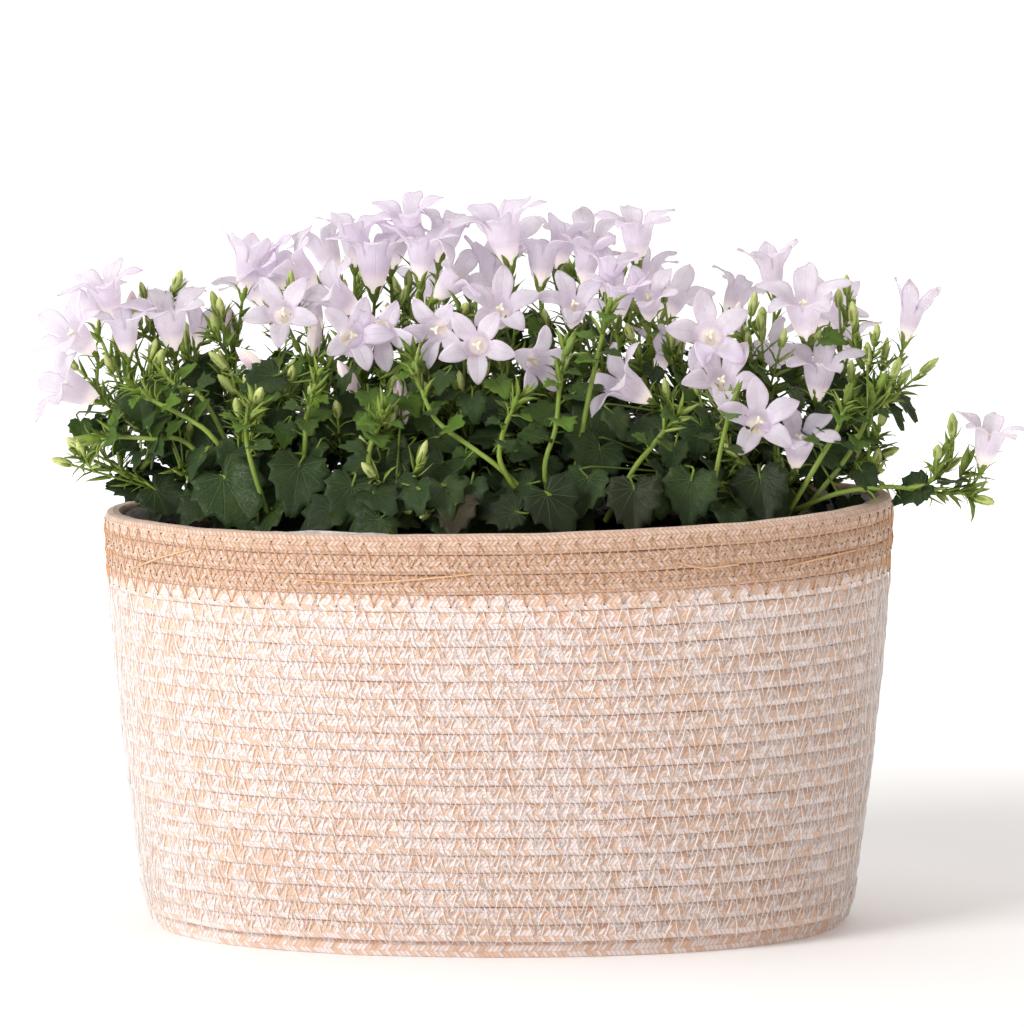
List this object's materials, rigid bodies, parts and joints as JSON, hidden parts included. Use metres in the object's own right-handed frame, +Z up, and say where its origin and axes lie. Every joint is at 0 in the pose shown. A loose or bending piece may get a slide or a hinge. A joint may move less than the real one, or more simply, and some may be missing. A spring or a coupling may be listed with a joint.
{
  "type": "potted bellflower",
  "caption": "Bellflower in full bloom, with pale lilac bells and toothed leaves, planted in an oval basket of coiled, braided rope.",
  "frame": {"origin": "on the floor under the middle of the basket", "axes": "+X along the basket's length to the right as seen from the front, -Y towards the viewer, +Z up"},
  "size_m": [0.4557, 0.2318, 0.3337],
  "materials": {
    "rope_mix": "white and tan braided rope, matt",
    "rope_tan": "tan braided rope, matt",
    "liner_film": "thin pale film, satin",
    "peat": null,
    "foliage": null,
    "petals": null
  },
  "bodies": {
    "root": {"basket_body": "rope_mix", "basket_rim_band": "rope_tan", "liner": "liner_film", "soil": "peat", "plant_left": "foliage", "plant_centre": "foliage", "plant_right": "foliage", "bloom_01": "petals", "bloom_02": "petals", "bloom_03": "petals", "bloom_04": "petals", "bloom_05": "petals", "bloom_06": "petals", "bloom_07": "petals", "bloom_08": "petals", "bloom_09": "petals", "bloom_10": "petals", "bloom_11": "petals", "bloom_12": "petals", "bloom_13": "petals", "bloom_14": "petals", "bloom_15": "petals", "bloom_16": "petals", "bloom_17": "petals", "bloom_18": "petals", "bloom_19": "petals", "bloom_20": "petals", "bloom_21": "petals", "bloom_22": "petals", "bloom_23": "petals", "bloom_24": "petals", "bloom_25": "petals", "bloom_26": "petals", "bloom_27": "petals", "bloom_28": "petals", "bloom_29": "petals"}
  },
  "joints": []
}
